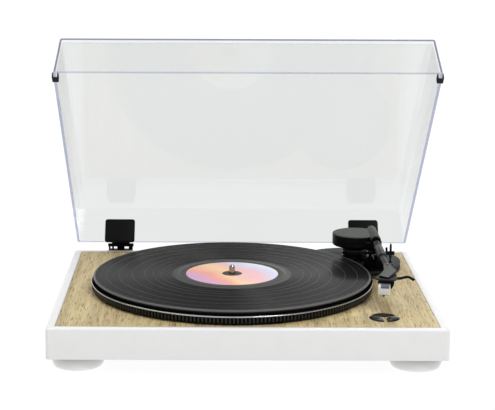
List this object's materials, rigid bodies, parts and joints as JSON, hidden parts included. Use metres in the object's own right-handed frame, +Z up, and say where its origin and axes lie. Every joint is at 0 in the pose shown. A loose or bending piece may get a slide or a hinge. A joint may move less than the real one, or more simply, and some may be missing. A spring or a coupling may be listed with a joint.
{
  "type": "record player",
  "caption": "Belt-drive record player: white plinth, oak deck, ribbed platter with a record, straight tonearm, petal buttons and an open hinged clear cover.",
  "frame": {"origin": "centre of the whole object's footprint with the cover open, on the surface it stands on", "axes": "+X to the right seen from the front, along the longest side; +Y to the back, towards the cover's hinges; +Z up"},
  "size_m": [0.4004, 0.357, 0.3222],
  "materials": {
    "white_plastic": "satin",
    "oak": "light oak, matt lacquer",
    "black_plastic": "fine matt",
    "black_gloss": "polished",
    "graphite": "soft matt",
    "slate_metal": "satin anodised",
    "dark_board": "pressed board",
    "rubber": "matt",
    "steel": "brushed",
    "chrome": "polished",
    "cast_platter": "black painted with a bright lip",
    "vinyl": "pressed vinyl with fine grooves",
    "label_paper": "soft colour gradient",
    "white_part": "satin",
    "red_part": "satin",
    "board_green": "solder mask",
    "clear_acrylic": "clear, polished"
  },
  "bodies": {
    "chassis": {"plinth_shell": "white_plastic", "deck_panel": "oak", "bottom_cover": "dark_board", "foot_fl": "white_plastic", "foot_fr": "white_plastic", "foot_bl": "white_plastic", "foot_br": "white_plastic", "foot_pad_fl": "rubber", "foot_pad_fr": "rubber", "foot_pad_bl": "rubber", "foot_pad_br": "rubber", "spindle_bearing": "steel", "motor": "steel", "drive_belt": "rubber", "tonearm_base": "graphite", "tonearm_column": "black_gloss", "pivot_shaft": "steel", "lift_housing": "black_plastic", "rest_post": "black_plastic", "button_block": "black_plastic", "connector_plate": "black_plastic", "phono_socket_left": "white_part", "phono_socket_right": "red_part", "ground_terminal": "steel", "power_inlet": "black_plastic", "circuit_board": "board_green", "hinge_bracket_left": "black_plastic", "hinge_bracket_right": "black_plastic"},
    "turntable": {"platter": "cast_platter", "platter_mat": "rubber", "spindle": "chrome", "record": "vinyl", "record_label": "label_paper"},
    "pulley": {"motor_pulley": "white_part"},
    "lid": {"dust_cover": "clear_acrylic", "hinge_pad_left": "black_plastic", "hinge_knuckle_left": "black_plastic", "rim_bumper_left": "rubber", "hinge_pad_right": "black_plastic", "hinge_knuckle_right": "black_plastic", "rim_bumper_right": "rubber"},
    "arm_carrier": {"arm_housing": "graphite", "arm_fork": "black_gloss"},
    "arm": {"arm_sleeve": "slate_metal", "bearing_ring": "steel", "arm_collar": "black_gloss", "arm_tube": "graphite", "headshell": "graphite", "cartridge_mount": "slate_metal", "cartridge": "white_part", "stylus": "steel", "finger_lift": "black_plastic"},
    "cue_lift": {"cue_bar": "black_plastic"},
    "rest_clip": {"rest_clip": "black_plastic"},
    "button_back": {"button_back": "black_gloss"},
    "button_left": {"button_left": "black_gloss"},
    "button_right": {"button_right": "black_gloss"},
    "power_switch": {"power_switch": "black_gloss"}
  },
  "joints": [
    {"name": "turntable_spin", "type": "hinge", "parent": "chassis", "child": "turntable", "pos_m": [-0.0136, -0.01654, 0.055], "axis": [0, 0, 1], "continuous": true},
    {"name": "pulley_spin", "type": "hinge", "parent": "chassis", "child": "pulley", "pos_m": [-0.1086, 0.04346, 0.0512], "axis": [0, 0, 1], "continuous": true},
    {"name": "lid_hinge", "type": "hinge", "parent": "chassis", "child": "lid", "pos_m": [0, 0.16979, 0.07205], "axis": [1, 0, 0], "range_deg": [0, 43]},
    {"name": "arm_swing", "type": "hinge", "parent": "chassis", "child": "arm_carrier", "pos_m": [0.129, 0.07826, 0.08], "axis": [0, 0, -1], "range_deg": [0, 42.5]},
    {"name": "arm_tilt", "type": "hinge", "parent": "arm_carrier", "child": "arm", "pos_m": [0.149, 0.04026, 0.0825], "axis": [-1, 0, 0], "range_deg": [-0.4, 1.6]},
    {"name": "cue_slide", "type": "slide", "parent": "chassis", "child": "cue_lift", "axis": [0, 0, 1], "range_m": [-0.0001, 0.0004]},
    {"name": "rest_clip_swing", "type": "hinge", "parent": "chassis", "child": "rest_clip", "pos_m": [0.1662, 0.04826, 0.07], "axis": [0, 0, 1], "range_deg": [0, 75]},
    {"name": "press_back", "type": "slide", "parent": "chassis", "child": "button_back", "axis": [0, 0, -1], "range_m": [0, 0.0014], "stiffness_N_per_m": 300, "springref_m": -0.0002},
    {"name": "press_left", "type": "slide", "parent": "chassis", "child": "button_left", "axis": [0, 0, -1], "range_m": [0, 0.0014], "stiffness_N_per_m": 300, "springref_m": -0.0002},
    {"name": "press_right", "type": "slide", "parent": "chassis", "child": "button_right", "axis": [0, 0, -1], "range_m": [0, 0.0014], "stiffness_N_per_m": 300, "springref_m": -0.0002},
    {"name": "switch_rock", "type": "hinge", "parent": "chassis", "child": "power_switch", "pos_m": [0.161, 0.15206, 0.028], "axis": [1, 0, 0], "range_deg": [0, 13.8]}
  ],
  "couplings": [
    {"joint": "pulley_spin", "follows": "turntable_spin", "ratio": 11.26},
    {"joint": "cue_slide", "follows": "arm_tilt", "m_per_rad": 0.013}
  ]
}
